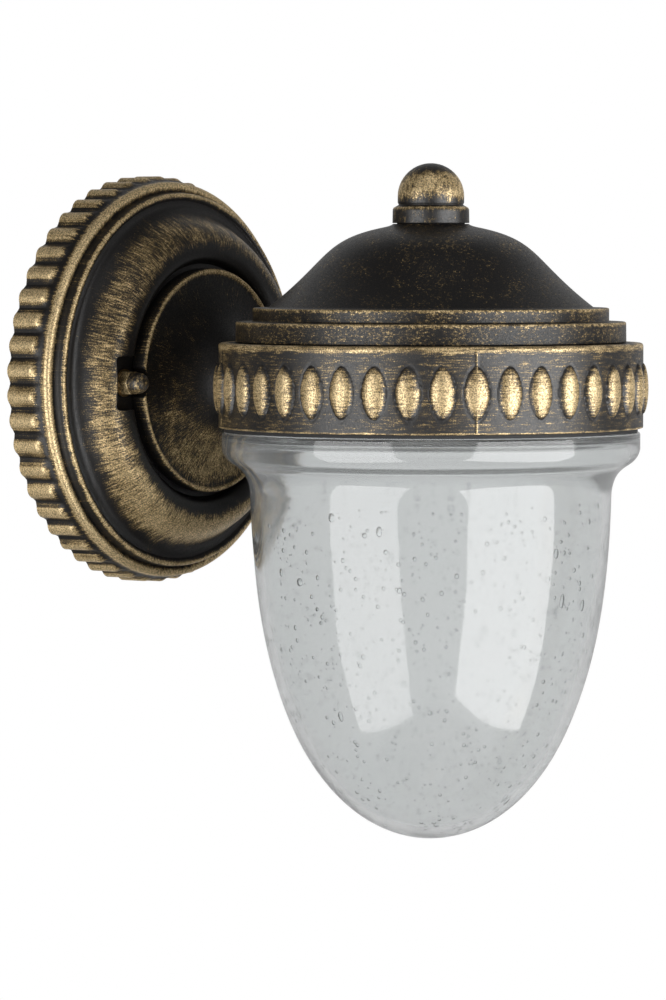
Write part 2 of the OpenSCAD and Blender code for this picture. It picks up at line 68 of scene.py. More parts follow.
# ---------------------------------------------------------------- camera

CAMERA_AZIMUTH = -54.49     # degrees round the lantern's axis, 0 in front of it
CAMERA_DISTANCE = 1.7389
CAMERA_HEIGHT = 0.0494
CAMERA_YAW = 1.14
CAMERA_PITCH = -2.97
CAMERA_LENS = 176.85
SENSOR = 36


def around(azimuth, distance, height):
    """A point round the lantern's vertical axis, in metres."""
    a = math.radians(azimuth)
    return Vector((math.sin(a) * distance, AXIS_Y - math.cos(a) * distance, height))


def add_object(name, data):
    made = bpy.data.objects.new(name, data)
    bpy.context.collection.objects.link(made)
    return made


def add_camera():
    data = bpy.data.cameras.new("camera")
    data.lens = CAMERA_LENS
    data.sensor_width = SENSOR
    data.clip_start = 0.05
    data.clip_end = 50
    camera = add_object("camera", data)
    camera.location = around(CAMERA_AZIMUTH, CAMERA_DISTANCE, CAMERA_HEIGHT)
    heading = math.radians(CAMERA_AZIMUTH + CAMERA_YAW)
    pitch = math.radians(CAMERA_PITCH)
    forward = Vector((-math.sin(heading) * math.cos(pitch), math.cos(heading) * math.cos(pitch),
                      math.sin(pitch)))
    camera.rotation_euler = forward.to_track_quat("-Z", "Y").to_euler()
    bpy.context.scene.camera = camera


# ---------------------------------------------------------------- outlines

def arc(centre, radius, start, end, steps):
    angles = np.radians(np.linspace(start, end, steps + 1))
    return [(centre[0] + radius * math.cos(a), centre[1] + radius * math.sin(a)) for a in angles]


def curve_at(p, t):
    """A point on the cubic curve with four control points."""
    w = ((1 - t) ** 3, 3 * t * (1 - t) ** 2, 3 * t * t * (1 - t), t ** 3)
    return tuple(sum(w[k] * p[k][j] for k in range(4)) for j in range(2))


def curve(p, steps):
    return [curve_at(p, t) for t in np.linspace(0, 1, steps + 1)]


def curve_back(p, steps):
    """The same points from the curve's end to its start."""
    return list(reversed(curve(p, steps)))


def rounded(points, steps=4):
    """A polyline whose corners (r, z, radius) become curves; plain points have no radius."""
    out = []
    for i, p in enumerate(points):
        if len(p) < 3 or i in (0, len(points) - 1):
            out.append(tuple(p[:2]))
            continue
        here = np.array(p[:2], float)
        before = np.array(points[i - 1][:2], float) - here
        after = np.array(points[i + 1][:2], float) - here
        length_before, length_after = np.linalg.norm(before), np.linalg.norm(after)
        before, after = before / length_before, after / length_after
        half = 0.5 * math.acos(max(-1, min(1, float(before @ after))))
        length = min(p[2] / math.tan(half), 0.49 * length_before, 0.49 * length_after)
        start, end = here + before * length, here + after * length
        for t in np.linspace(0, 1, steps + 1):
            q = (1 - t) ** 2 * start + 2 * t * (1 - t) * here + t * t * end
            out.append((float(q[0]), float(q[1])))
    return out


def resampled(points, spacing):
    """Cuts long lengths of a polyline so that no step is longer than spacing."""
    out = [points[0]]
    for a, b in zip(points[:-1], points[1:]):
        n = max(1, math.ceil(math.dist(a, b) / spacing))
        for k in range(1, n + 1):
            out.append((a[0] + (b[0] - a[0]) * k / n, a[1] + (b[1] - a[1]) * k / n))
    return out


# ---------------------------------------------------------------- meshes

def lathe(name, outline, columns, shape=None, axis="Z", origin=LANTERN_CENTRE):
    """Turns a closed outline of (radius, height) in mm round Z through origin, or with axis "Y"
    round the line that runs out from the wall. shape(angle, radius, height) returns new radii
    and heights. Points on the axis become one point."""
    outline = np.array(outline, float)
    if np.allclose(outline[0], outline[-1]):
        outline = outline[:-1]
    rows = len(outline)
    a = np.tile(np.arange(columns) * TAU / columns, rows)
    r = np.repeat(outline[:, 0], columns)
    h = np.repeat(outline[:, 1], columns)
    on_axis = [i for i in range(rows) if outline[i, 0] == 0]
    if shape is not None:
        r, h = shape(a, r, h)
    if axis == "Y":
        points = np.stack([r * np.cos(a), -h, r * np.sin(a)], -1) * MM + np.array(origin)
    else:
        points = np.stack([r * np.cos(a), r * np.sin(a), h], -1) * MM + np.array(origin)
    index = np.arange(rows * columns).reshape(rows, columns)
    faces = []
    for i in range(rows):
        j = (i + 1) % rows
        here, there = index[i], index[j]
        here_next, there_next = np.roll(here, -1), np.roll(there, -1)
        if i in on_axis and j in on_axis:
            continue
        if i in on_axis:
            faces.append(np.stack([np.full(columns, here[0]), there_next, there], -1))
        elif j in on_axis:
            faces.append(np.stack([here, here_next, np.full(columns, there[0])], -1))
        else:
            faces.append(np.stack([here, here_next, there_next, there], -1))
    mesh = bpy.data.meshes.new(name)
    mesh.from_pydata(points.tolist(), [], [face for part in faces for face in part.tolist()])
    tidy_mesh(mesh, [int(v) for i in on_axis for v in index[i][1:]])
    return add_object(name, mesh)


def tidy_mesh(mesh, loose=()):
    """Drops unused points, turns the faces outwards and smooths all but sharp edges."""
    bm = bmesh.new()
    bm.from_mesh(mesh)
    bm.verts.ensure_lookup_table()
    if loose:
        bmesh.ops.delete(bm, geom=[bm.verts[i] for i in loose], context="VERTS")
    bmesh.ops.recalc_face_normals(bm, faces=bm.faces[:])
    bm.to_mesh(mesh)
    bm.free()
    smooth(mesh)


def smooth(mesh, angle=35):
    """Smooth shading, but for edges that turn by more than angle, in degrees."""
    mesh.polygons.foreach_set("use_smooth", [True] * len(mesh.polygons))
    mesh.set_sharp_from_angle(angle=math.radians(angle))


def set_attribute(obj, name, values):
    """A number for each point of a mesh, for its paint to read."""
    layer = obj.data.attributes.new(name, "FLOAT", "POINT")
    layer.data.foreach_set("value", np.asarray(values, np.float32))


def polar(obj, axis="Z"):
    """Radius, height and angle of each point of a mesh, in mm and radians."""
    co = np.empty(len(obj.data.vertices) * 3)
    obj.data.vertices.foreach_get("co", co)
    co = co.reshape(-1, 3) / MM
    if axis == "Y":
        return np.hypot(co[:, 0], co[:, 2]), -co[:, 1], np.arctan2(co[:, 2], co[:, 0])
    y = co[:, 1] - AXIS_Y / MM
    return np.hypot(co[:, 0], y), co[:, 2], np.arctan2(y, co[:, 0])


def crests(r, h, places):
    """Gold left on raised places, each (radius, height, width, strength)."""
    gold = np.zeros_like(r)
    for place_r, place_h, width, strength in places:
        near = np.exp(-((r - place_r) ** 2 + (h - place_h) ** 2) / width ** 2)
        gold = np.maximum(gold, strength * near)
    return gold


def band(x, low, high, soft):
    """1 between low and high, falling to 0 over soft outside them."""
    up = np.clip((x - low) / soft + 1, 0, 1)
    down = np.clip((high - x) / soft + 1, 0, 1)
    t = np.minimum(up, down)
    return t * t * (3 - 2 * t)


def downward(angle):
    """0 at the top of a piece turned round the arm's axis, and 1 at its bottom."""
    return 0.5 - 0.5 * np.sin(angle)


def cutter_from(bm):
    """Turns a finished bmesh into an object to cut with."""
    mesh = bpy.data.meshes.new("cutter")
    bm.to_mesh(mesh)
    bm.free()
    return add_object("cutter", mesh)


def cut(obj, cutter):
    """Takes cutter away from obj for good."""
    modifier = obj.modifiers.new("cut", "BOOLEAN")
    modifier.operation = "DIFFERENCE"
    modifier.solver = "MANIFOLD"
    modifier.object = cutter
    graph = bpy.context.evaluated_depsgraph_get()
    result = bpy.data.meshes.new_from_object(obj.evaluated_get(graph))
    obj.modifiers.clear()
    result.materials.clear()
    old = obj.data
    obj.data = result
    bpy.data.meshes.remove(old)
    bpy.data.objects.remove(cutter)


# ---------------------------------------------------------------- shader nodes

def feed(tree, socket, value):
    """Joins a socket to another node's output, or gives it a value of its own."""
    if isinstance(value, bpy.types.NodeSocket):
        tree.links.new(value, socket)
    else:
        socket.default_value = value


def object_place(tree):
    return tree.nodes.new("ShaderNodeTexCoord").outputs["Object"]


def attribute(tree, name):
    made = tree.nodes.new("ShaderNodeAttribute")
    made.attribute_name = name
    return made.outputs["Fac"]


def math_node(tree, operation, a, b):
    made = tree.nodes.new("ShaderNodeMath")
    made.operation = operation
    feed(tree, made.inputs[0], a)
    feed(tree, made.inputs[1], b)
    return made.outputs[0]


def vector_node(tree, operation, a, b=(0, 0, 0)):
    made = tree.nodes.new("ShaderNodeVectorMath")
    made.operation = operation
    feed(tree, made.inputs[0], a)
    feed(tree, made.inputs[1], b)
    single = operation in ("LENGTH", "DOT_PRODUCT")
    return made.outputs["Value" if single else "Vector"]


def mapped(tree, source, scale, centre=(0, 0, 0)):
    """A place taken from centre and stretched by scale along X, Y and Z."""
    return vector_node(tree, "MULTIPLY", vector_node(tree, "SUBTRACT", source, centre), scale)


def mix_colour(tree, factor, a, b, blend="MIX"):
    made = tree.nodes.new("ShaderNodeMix")
    made.data_type = "RGBA"
    made.blend_type = blend
    feed(tree, made.inputs["Factor"], factor)
    feed(tree, made.inputs[6], a)       # the colour sockets come after those of other types
    feed(tree, made.inputs[7], b)
    return made.outputs[2]


def noise(tree, vector, scale, detail, rough):
    made = tree.nodes.new("ShaderNodeTexNoise")
    made.inputs["Scale"].default_value = scale
    made.inputs["Detail"].default_value = detail
    made.inputs["Roughness"].default_value = rough
    tree.links.new(vector, made.inputs["Vector"])
    return made.outputs["Fac"]


def map_range(tree, value, low, high, a, b):
    made = tree.nodes.new("ShaderNodeMapRange")
    made.inputs["From Min"].default_value = low
    made.inputs["From Max"].default_value = high
    made.inputs["To Min"].default_value = a
    made.inputs["To Max"].default_value = b
    tree.links.new(value, made.inputs["Value"])
    return made


def ramp(tree, value, low, high, a=0.0, b=1.0):
    """A soft step: a where value is below low, b where it is above high."""
    made = map_range(tree, value, low, high, a, b)
    made.interpolation_type = "SMOOTHSTEP"
    return made.outputs[0]


def centred(tree, value, gain):
    """A noise value as an offset about zero, from about -gain / 2 to gain / 2."""
    made = map_range(tree, value, 0.3, 0.7, -gain / 2, gain / 2)
    made.clamp = False
    return made.outputs[0]


def add_bump(tree, shader, height, strength, depth):
    """Relief on the shader's surface; depth is in mm."""
    bump = tree.nodes.new("ShaderNodeBump")
    bump.inputs["Strength"].default_value = strength
    bump.inputs["Distance"].default_value = depth * MM
    tree.links.new(height, bump.inputs["Height"])
    tree.links.new(bump.outputs[0], shader.inputs["Normal"])


def new_material(name):
    material = bpy.data.materials.new(name)
    material.use_nodes = True
    tree = material.node_tree
    return material, tree, tree.nodes["Principled BSDF"]


def shaded(colour, share):
    """A colour at a share of its brightness."""
    return tuple(c * share for c in colour[:3]) + (1,)


# ---------------------------------------------------------------- materials

DARK = (0.0068, 0.0058, 0.0054, 1)
PAINT_TONES = ((0.0, DARK), (0.35, (0.10, 0.070, 0.032, 1)), (0.7, (0.36, 0.255, 0.115, 1)),
               (1.0, (0.62, 0.47, 0.255, 1)))
# unpainted metal made pale as painted light, so that the gallery's inside brightens what shows through
# the glass's rim
UNPAINTED_AND_LIT_CASTING = (0.75, 0.75, 0.74, 1)
STREAKS = {                 # scale of the streaks along X, Y and Z, and how ragged they are
    "hoop": ((170, 170, 1900), 0.65),
    "dust": ((800, 800, 1500), 0.6),
    "none": ((900, 900, 420), 0.6),
}
GLASS_TINTS = ((0.93, 0.955, 0.955, 1), (0.965, 0.975, 0.975, 1))
GLASS_ROUGHNESS = 0.07
ZINC = (0.50, 0.49, 0.47, 1)
BRASS = (0.62, 0.43, 0.17, 1)
DULL_BRASS = (0.30, 0.21, 0.10, 1)


def radial_streaks(tree, place):
    """Fine streaks that run out from the arm's axis, as a cloth leaves them on a turned dish."""
    flat = mapped(tree, place, (1, 0, 1))
    out = mapped(tree, vector_node(tree, "NORMALIZE", flat), (110, 110, 110))
    lift = tree.nodes.new("ShaderNodeCombineXYZ")
    along = math_node(tree, "MULTIPLY", vector_node(tree, "LENGTH", flat), 330)
    tree.links.new(along, lift.inputs["Y"])
    return noise(tree, vector_node(tree, "ADD", out, lift.outputs[0]), 1.0, 3, 0.65)


def streaks(tree, place, brush):
    if brush == "radial":
        return radial_streaks(tree, place)
    scale, rough = STREAKS[brush]
    return noise(tree, mapped(tree, place, scale), 1.0, 3, rough)


def paint_tones(tree, amount):
    """The colour of the paint, from plain charcoal at 0 to full gold at 1."""
    tones = tree.nodes.new("ShaderNodeValToRGB")
    stops = tones.color_ramp.elements
    stops[0].position, stops[0].color = PAINT_TONES[0]
    stops[1].position, stops[1].color = PAINT_TONES[-1]
    for position, colour in PAINT_TONES[1:-1]:
        stops.new(position).color = colour
    tree.links.new(amount, tones.inputs["Fac"])
    return tones.outputs["Color"]


def brushed_paint(name, brush, gloss=0.41, sheen=0.8):
    """Charcoal paint with gold rubbed over it. brush says how the streaks run: radial, hoop, dust
    or none. gloss is the middle roughness, and sheen the strength of the paint's reflections. The
    point attribute gold says how much gold is left where, from about -0.5 to 1, and the attribute
    that marks unpainted casting is 1 where the metal has no paint and takes a pale colour, partly
    painted light."""
    material, tree, shader = new_material(name)
    shader.inputs["Specular IOR Level"].default_value = sheen
    place = object_place(tree)
    speck = noise(tree, place, 2600, 2, 0.6)
    cloud = noise(tree, place, 130, 2, 0.5)
    sand = noise(tree, mapped(tree, place, (1, 1, 1), (0.3, 0.1, 0.2)), 1900, 2, 0.7)
    streak = streaks(tree, place, brush)
    grain = math_node(tree, "ADD", centred(tree, speck, 0.5), centred(tree, streak, 0.72))
    grain = math_node(tree, "ADD", grain, centred(tree, cloud, 0.32))
    left = math_node(tree, "ADD", attribute(tree, "gold"), grain)
    amount = ramp(tree, left, 0.2, 0.95)

    pits = ramp(tree, sand, 0.35, 0.65, 0.45, 1.6)
    paint = mix_colour(tree, 1, paint_tones(tree, amount), pits, "MULTIPLY")
    # partly painted light: the unpainted inside of the gallery takes a pale colour that lightens what
    # shows through the glass's rim
    colour = mix_colour(tree, attribute(tree, "bare_and_lit"), paint, UNPAINTED_AND_LIT_CASTING)
    tree.links.new(colour, shader.inputs["Base Color"])
    tree.links.new(ramp(tree, amount, 0, 1, 0.0, 0.55), shader.inputs["Metallic"])
    roughness = ramp(tree, sand, 0.35, 0.65, gloss + 0.1, gloss - 0.1)
    tree.links.new(roughness, shader.inputs["Roughness"])
    height = math_node(tree, "ADD", sand, math_node(tree, "MULTIPLY", grain, 0.35))
    add_bump(tree, shader, height, 0.55, 0.07)
    return material


def plain_metal(name, colour, rough):
    """A plated or turned metal with fine, uneven wear."""
    material, tree, shader = new_material(name)
    place = object_place(tree)
    grain = noise(tree, place, 900, 4, 0.65)
    worn = ramp(tree, noise(tree, place, 90, 3, 0.6), 0.35, 0.7)
    tree.links.new(mix_colour(tree, worn, shaded(colour, 0.72), colour), shader.inputs["Base Color"])
    shader.inputs["Metallic"].default_value = 1
    roughness = ramp(tree, grain, 0.3, 0.7, rough - 0.06, rough + 0.08)
    tree.links.new(roughness, shader.inputs["Roughness"])
    add_bump(tree, shader, grain, 0.2, 0.05)
    return material


def moulded(name, colour, rough):
    """Rubber, glaze or plastic: faint mottling and a fine skin."""
    material, tree, shader = new_material(name)
    place = object_place(tree)
    mottle = ramp(tree, noise(tree, place, 260, 3, 0.6), 0.3, 0.7)
    skin = noise(tree, place, 2400, 2, 0.5)
    tree.links.new(mix_colour(tree, mottle, shaded(colour, 0.82), colour), shader.inputs["Base Color"])
    roughness = ramp(tree, skin, 0.3, 0.7, rough - 0.05, rough + 0.07)
    tree.links.new(roughness, shader.inputs["Roughness"])
    add_bump(tree, shader, skin, 0.15, 0.03)
    return material


def glass_material(name, ior, clear):
    """Faintly green glass; what isn't clear in it is a milky veil."""
    material, tree, shader = new_material(name)
    place = object_place(tree)
    tint = noise(tree, place, 30, 2, 0.5)
    tree.links.new(mix_colour(tree, tint, *GLASS_TINTS), shader.inputs["Base Color"])
    shader.inputs["Transmission Weight"].default_value = clear
    shader.inputs["Roughness"].default_value = GLASS_ROUGHNESS
    shader.inputs["IOR"].default_value = ior
    add_bump(tree, shader, noise(tree, place, 110, 3, 0.5), 0.06, 0.4)
    return material


# ---------------------------------------------------------------- wall plate

PLATE_R = 74.7
DISH_TOP = 34.4
CASTING_T = 3               # wall of the casting, and how it is set in behind the dish
PLATE_INSET = (3.2, 3.6)
RIBS = 50
RIB_RISE = 1.8              # how far the ribs stand out of the rim
RIB_R = 4.2                 # radius of a rib's round back
RIB_END = 10.0              # height at which a rib's ball-shaped end begins
RIM_H = 13.4                # height of the ribbed rim
VALLEY_R = PLATE_R - RIB_RISE
RING_A = (70.6, 15.2)       # radius and height of the middle of the outer ring's round
RING_B = (67.2, 19.7)       # and of the inner ring's
RING_GOLD = [(71.8, 16.5, 2.4, 1.55), (67.9, 20.9, 1.3, 1.15)]      # for crests()
DISH_RISE = [(64.4, 20.6), (59, 20.9), (58.4, DISH_TOP), (48.6, DISH_TOP)]
DISH_FALL = [(48.6, DISH_TOP), (45.4, DISH_TOP), (43.4, 33), (42.9, SEAT_H)]
POCKET_FLOOR = 29.5
POCKET_OUT = 53
POCKET_IN = 38
POCKET_HALF = 9.7
POCKET_DEEP = 9             # more than the dish stands over the floor, to cut clear through its face
POCKET_CORNER = 1.4
PAD = (43.5, 57, 12.5)      # the thick metal behind a pocket: its radii and half its width
NUT_ROOM_R = 6.9            # the round clearance for a dome nut and its socket


def dish_face(r):
    """Height of the dish's painted face at a radius."""
    slope = np.array((curve(DISH_RISE, 44) + curve(DISH_FALL, 12))[::-1])
    return np.interp(r, slope[:, 0], slope[:, 1])


def ribs_and_pads(angle, r, h):
    """Round ribs along the rim with ball-shaped ends, and the pads behind the nut pockets."""
    pad_in, pad_out, pad_half = PAD
    in_pad = (r > pad_in) & (r < pad_out) & (np.abs(r * np.sin(angle)) < pad_half)
    behind = in_pad & (h < dish_face(r) - 1)
    h = np.where(behind, np.minimum(h, POCKET_FLOOR - CASTING_T), h)
    pitch = TAU / RIBS
    across = (np.mod(angle, pitch) - pitch / 2) * PLATE_R
    past = np.clip(h - RIB_END, 0, None) * 1.35
    ball = np.sqrt(np.clip(RIB_R ** 2 - across ** 2 - past ** 2, 0, None))
    lift = np.clip(ball - (RIB_R - RIB_RISE), 0, None)
    wave = (0.5 + 0.5 * np.cos(RIBS * angle + math.pi)) ** 0.6
    swell = wave * np.clip(1 - (past / RIB_R) ** 2, 0, None)
    lift = np.maximum(lift, 0.75 * RIB_RISE * swell)
    on_rim = (r > VALLEY_R - 0.6) & (h < RIM_H + 0.1)
    return np.where(on_rim, r + lift, r), h


def plate_outline():
    front = resampled([(VALLEY_R, 0), (VALLEY_R, RIM_H)], 0.55)
    front += arc(RING_A, 2, -14, 128, 14) + [(69.0, 16.6), (68.8, 17.2)]
    front += arc(RING_B, 1.4, -8, 150, 11)
    front += resampled([(65.6, 20.2)] + curve(DISH_RISE, 44) + curve(DISH_FALL, 12), 0.8)
    front += rounded([(42.9, SEAT_H), (42.6, 29.7, 0.3), (41, 29.9), (12, SEAT_H)])[1:]
    inset_r, inset_h = PLATE_INSET
    back = [(12, 27), (44, 27)] + [(r - inset_r, h - inset_h) for r, h in curve_back(DISH_RISE, 10)]
    back += [(68.6, 12), (68.6, 3), (69.8, 3), (69.8, 0)]
    return front + back


def plate_gold(r, h, angle):
    """Gold on the ribs, on the two rings and in a broad band round the dish; the band's gold grows
    towards the dish's bottom as painted light falling from below.
    """
    lift = np.clip(r - VALLEY_R, 0, None) * (h < 13.3)
    on_ribs = 1.25 * np.clip(lift / RIB_RISE, 0, 1) ** 0.7 - 0.12
    on_rings = crests(r, h, RING_GOLD) - 0.2
    # painted light: the dish band's gold is heavier towards the bottom, standing in for light from
    # below
    dish_gold_and_underlight = band(r, 52.5, 57.5, 6.5) * (0.68 + 0.42 * downward(angle) ** 3) - 0.2
    dish_gold_and_underlight = np.where(h > dish_face(r) - 1, dish_gold_and_underlight, -0.2)
    return np.maximum(np.maximum(on_ribs, on_rings), dish_gold_and_underlight)


def build_plate():
    plate = lathe("plate_casting", plate_outline(), RIBS * 16, ribs_and_pads, "Y", WALL_CENTRE)
    set_attribute(plate, "gold", plate_gold(*polar(plate, "Y")))
    for side in (-1, 1):
        cut(plate, pocket_cutter(side))
        cut(plate, nut_room_cutter(side, POCKET_FLOOR, 40))
    plate.data.materials.append(brushed_paint("plate paint", "radial", sheen=0.5))
    smooth(plate.data)
    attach(plate, "wall_unit")
    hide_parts("back_plate")


def pocket_cutter(side):
    """A four-sided recess with rounded corners. side is -1 for the left one, 1 for the right one."""
    bm = bmesh.new()
    bmesh.ops.create_cube(bm, size=1)
    size = ((POCKET_OUT - POCKET_IN) * MM, POCKET_DEEP * MM, 2 * POCKET_HALF * MM)
    bmesh.ops.scale(bm, vec=size, verts=bm.verts)
    edges = [e for e in bm.edges if abs(e.verts[0].co.y - e.verts[1].co.y) > 1e-6]
    bmesh.ops.bevel(bm, geom=edges, offset=POCKET_CORNER * MM, segments=4, affect="EDGES", profile=0.5)
    middle = side * 0.5 * (POCKET_OUT + POCKET_IN) * MM
    height = (POCKET_FLOOR + POCKET_DEEP / 2) * MM
    bmesh.ops.translate(bm, vec=(middle, -height, 0), verts=bm.verts)
    return cutter_from(bm)


def nut_room_cutter(side, low, high):
    """A round hole from low to high over the wall, on the axis of a dome nut."""
    bm = bmesh.new()
    bmesh.ops.create_cone(bm, cap_ends=True, segments=48, radius1=NUT_ROOM_R * MM,
                          radius2=NUT_ROOM_R * MM, depth=(high - low) * MM)
    bmesh.ops.rotate(bm, cent=WALL_CENTRE, verts=bm.verts, matrix=Matrix.Rotation(math.pi / 2, 3, "X"))
    bmesh.ops.translate(bm, vec=(side * STUD_X * MM, -0.5 * (low + high) * MM, 0), verts=bm.verts)
    return cutter_from(bm)


# ---------------------------------------------------------------- arm

NECK_R = 14.5
ARM_DISC_R = 40.9
BORE_R = 5.1                # clears the nipple that runs through the arm
ARM_FLARE = [(38.4, 34.9), (27, 35.6), (NECK_R, 41), (NECK_R, 51)]
ARM_HOLLOW = [(21, SEAT_H), (16, 33), (11, 38), (11, 45)]
ARM_EDGE_GOLD = [(39.8, 35.6, 1.4, 1.15)]


def arm_outline():
    outside = rounded([(24, SEAT_H), (ARM_DISC_R, SEAT_H, 0.2), (ARM_DISC_R, 35.2, 1.0),
                       (39.9, 35.7, 0.5), (39.0, 35.0, 0.5), (38.4, 34.9)])
    outside += resampled(curve(ARM_FLARE, 40), 0.9)[1:]
    outside += rounded([(NECK_R, 51), (NECK_R, NECK_END, 0.3), (BORE_R, NECK_END)])[1:]
    inside = [(BORE_R, 50), (11, 50), (11, 45)] + curve_back(ARM_HOLLOW, 8)
    return outside + inside


def build_arm():
    arm = lathe("arm_casting", arm_outline(), 256, axis="Y", origin=WALL_CENTRE)
    r, h, angle = polar(arm, "Y")
    edge = crests(r, h, ARM_EDGE_GOLD) - 0.15
    # partly painted light: a thin rub of gold on the flare that grows towards its bottom, standing in
    # for light from below
    veil = band(r, 22, 36, 6) * (h > 34) * (0.1 + 0.56 * downward(angle) ** 2) - 0.05
    set_attribute(arm, "gold", np.maximum(edge, veil))
    for side in (-1, 1):
        cut(arm, nut_room_cutter(side, 28, 44))
    arm.data.materials.append(brushed_paint("arm paint", "radial", gloss=0.55, sheen=0.35))
    smooth(arm.data)
    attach(arm, "wall_unit")
    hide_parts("arm")


# ---------------------------------------------------------------- dome nuts

NUT_BASE = 30.3
NUT_FLATS = 8
NUT_H = 10
NUT_HEX_H = 4
NUT_DOME_R = 3.75


def nut_outline():
    dome_h = NUT_H - NUT_DOME_R
    skirt = rounded([(2.5, 0), (4.3, 0), (4.7, 0.35), (4.7, 3.5), (3.95, NUT_HEX_H),
                     (NUT_DOME_R, NUT_HEX_H), (NUT_DOME_R, dome_h)])
    dome = arc((0, dome_h), NUT_DOME_R, 0, 90, 14)[1:-1]
    return [(0, 0)] + resampled(skirt, 0.4) + dome + [(0, NUT_H)]


def hexagon(angle, r, h):
    """Cuts six flats on the nut below its dome."""
    turn = np.mod(angle, TAU / 6) - TAU / 12
    limit = NUT_FLATS / 2 / np.cos(turn)
    return np.where(h < NUT_HEX_H - 0.01, np.minimum(r, limit), r), h


def build_nuts():
    for side, word in ((-1, "left"), (1, "right")):
        nut = lathe("dome_nut_" + word, nut_outline(), 96, hexagon, "Y", WALL_CENTRE)
        r, h, angle = polar(nut, "Y")
        gold = 0.72 * (h < NUT_HEX_H) * (r > 3.8) + 0.4 * (h >= NUT_HEX_H)
        set_attribute(nut, "gold", gold)
        nut.data.transform(Matrix.Translation((side * STUD_X * MM, -NUT_BASE * MM, 0)))
        nut.data.materials.append(brushed_paint("nut paint " + word, "none"))
        smooth(nut.data, 30)
        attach(nut, "wall_unit")
        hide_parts("dome_nuts")


# ---------------------------------------------------------------- gallery

GALLERY_R = 75.1
GALLERY_TOP = 15
GALLERY_LOW = -15
GALLERY_IN = 72             # radius inside the band
FLANGE_H = 12               # underside of the flange that the lid lies on
FLANGE_IN = 60
RING_R = 66.4               # bore of the ring that the glass is screwed into
RING_H = -8.6               # and its top
BEADS = 40                  # in a whole turn; the three behind the arm aren't made
BEAD_W = 8.8
BEAD_TALL = 18
BEAD_H = 1.95
BEAD_Z = -1.0
GROOVE = 0.12               # depth of the groove round a bead
CASTING_TURN = 2.6          # degrees that the bead pattern is turned from the arm
FIRST_BEAD = math.radians(90 + CASTING_TURN)
SEAMS = (45, 135, 225, 315)     # the mould's seams, in degrees
LUG_X = 61.5


def bead_relief(angle, h):
    """Height of the beads above the band, and the groove round each."""
    pitch = TAU / BEADS
    near = np.mod(angle - FIRST_BEAD + pitch / 2, pitch) - pitch / 2
    index = np.round((angle - FIRST_BEAD) / pitch)
    x = near * GALLERY_R / (BEAD_W / 2)
    z = (h - BEAD_Z) / (BEAD_TALL / 2)
    almond = x * x * (1 + 0.4 * z * z) + z * z      # 1 on the bead's edge, 0 in its middle
    dome = BEAD_H * np.clip(1 - almond, 0, None) ** 0.55
    groove = -GROOVE * np.exp(-((np.sqrt(almond) - 1.06) / 0.07) ** 2)
    behind_arm = np.abs(np.mod(index + BEADS / 2, BEADS) - BEADS / 2) < 1.5
    return np.where(behind_arm, 0, dome), np.where(behind_arm, 0, groove)


def seam_at(angle, seam, width):
    """1 on a mould seam of the casting, falling to 0 within a few widths of it."""
    away = np.mod(angle - math.radians(seam + CASTING_TURN) + math.pi, TAU) - math.pi
    return np.exp(-(away * GALLERY_R / width) ** 2)


def gallery_relief(angle, r, h):
    """Beads, grooves and mould seams on the outside of the band."""
    dome, groove = bead_relief(angle, h)
    ridge = sum(0.22 * seam_at(angle, seam, 0.35) for seam in SEAMS)
    outside = (r > GALLERY_R - 0.3) & (np.abs(h) < 14.2)
    return np.where(outside, r + dome + groove + ridge * (dome < 0.4), r), h


def gallery_outline():
    """The band's section, cut finer where the beads stand."""
    corners = rounded([(RING_R, GALLERY_LOW), (GALLERY_R, GALLERY_LOW, 0.5),
                       (GALLERY_R, GALLERY_TOP, 1.3), (FLANGE_IN, GALLERY_TOP, 0.3),
                       (FLANGE_IN, FLANGE_H), (GALLERY_IN, FLANGE_H),
                       (GALLERY_IN, RING_H), (RING_R, RING_H)])
    outline = corners[:1]
    for a, b in zip(corners[:-1], corners[1:]):
        on_band = abs(a[0] - GALLERY_R) < 0.05 and abs(b[0] - GALLERY_R) < 0.05
        outline += resampled([a, b], 0.42 if on_band else 1.5)[1:]
    return outline


def gallery_gold(r, h, angle):
    """Gold on the beads, along both edges, on the seams, and a little all over the outside."""
    dome, groove = bead_relief(angle, h)
    outside = r > GALLERY_R - 1.6
    on_beads = 0.95 * np.clip(1.15 * dome / BEAD_H - 0.1, 0, 1) ** 0.6 * outside
    top = band(h, 14.0, 16, 3.0) * (r > GALLERY_R - 3.5) * 0.78
    low = band(h, -16, -14.5, 0.5) * outside * 0.65
    faint = 0.26 * outside * (np.abs(h) < 14)
    gold = np.maximum(np.maximum(on_beads, top), np.maximum(low, faint))
    gold = gold - 0.3 * np.clip(-groove / GROOVE, 0, 1)
    for seam in SEAMS:
        gold = np.maximum(gold, 0.85 * seam_at(angle, seam, 0.3) * outside * (np.abs(h) < 14.8))
    return gold


def build_gallery():
    gallery = lathe("gallery_casting", gallery_outline(), BEADS * 28, gallery_relief)
    r, h, angle = polar(gallery)
    set_attribute(gallery, "gold", gallery_gold(r, h, angle))
    # partly painted light: the gallery's inside and underside are left unpainted and pale, to lighten
    # what shows through the glass's rim
    set_attribute(gallery, "bare_and_lit", 1.0 * (r < GALLERY_R - 1.6) * (h < FLANGE_H + 0.5))
    gallery.data.materials.append(brushed_paint("gallery paint", "hoop"))
    boss = build_boss()
    build_lugs()
    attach(gallery, "wall_unit")
    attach(boss, "wall_unit")
    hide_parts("gallery")


